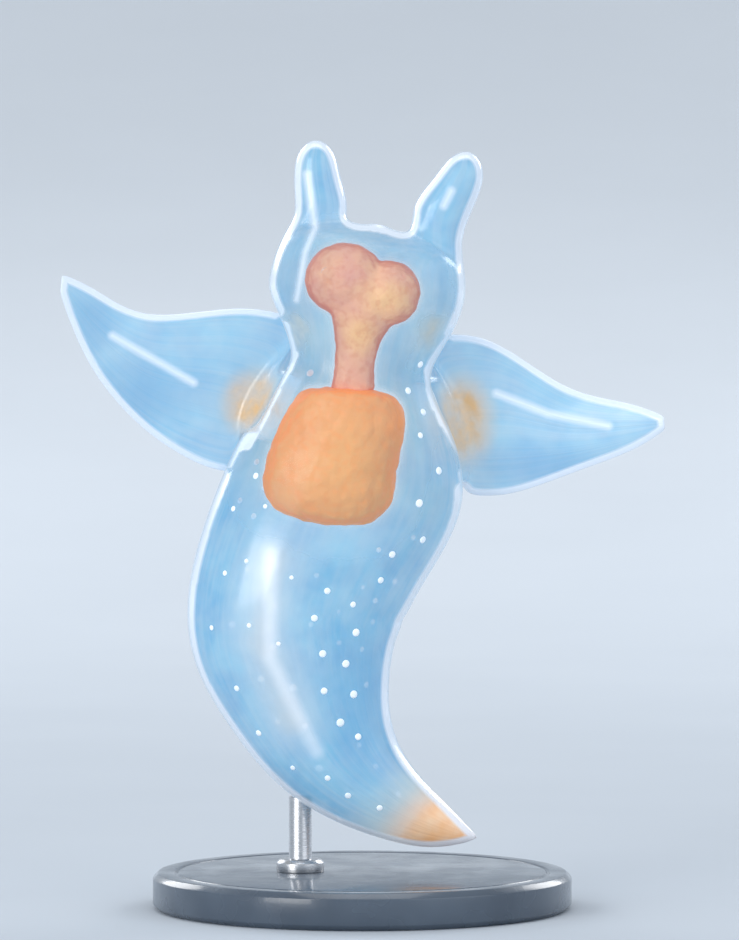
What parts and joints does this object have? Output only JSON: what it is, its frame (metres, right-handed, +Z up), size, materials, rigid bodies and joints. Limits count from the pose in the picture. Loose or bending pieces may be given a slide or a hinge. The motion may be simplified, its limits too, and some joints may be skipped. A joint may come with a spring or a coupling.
{
  "type": "life-size sea angel model on a display stand",
  "caption": "Still life-size model of a swimming sea angel: clear blue winged sea snail with horns, orange organs and tail tip, upright on a round base with a rod.",
  "frame": {"origin": "centre of the stand base's underside", "axes": "+Z up along the upright animal; its back faces -Y, its belly and foot face +Y, and its own left wing lies at -X"},
  "size_m": [0.0661, 0.046, 0.0841],
  "materials": {
    "clear_flesh": "wet, clear pale blue jelly with a frosted rim",
    "tail_flesh": "wet, translucent orange",
    "buccal_sacs": "smooth, salmon orange",
    "gut": "finely lobed, orange",
    "stand_base": "polished slate-coloured acrylic",
    "stand_rod": "brushed"
  },
  "bodies": {
    "root": {"head": "clear_flesh", "horn_left": "clear_flesh", "horn_right": "clear_flesh", "nape_feeler_left": "clear_flesh", "nape_feeler_right": "clear_flesh", "neck": "clear_flesh", "trunk_front": "clear_flesh", "trunk_middle": "clear_flesh", "trunk_rear": "clear_flesh", "tail": "tail_flesh", "wing_left": "clear_flesh", "wing_right": "clear_flesh", "foot_lobe_left": "clear_flesh", "foot_lobe_right": "clear_flesh", "foot_tongue": "clear_flesh", "buccal_mass": "buccal_sacs", "gullet": "gut", "digestive_gland": "gut", "stand_base": "stand_base", "stand_rod": "stand_rod"}
  },
  "joints": []
}
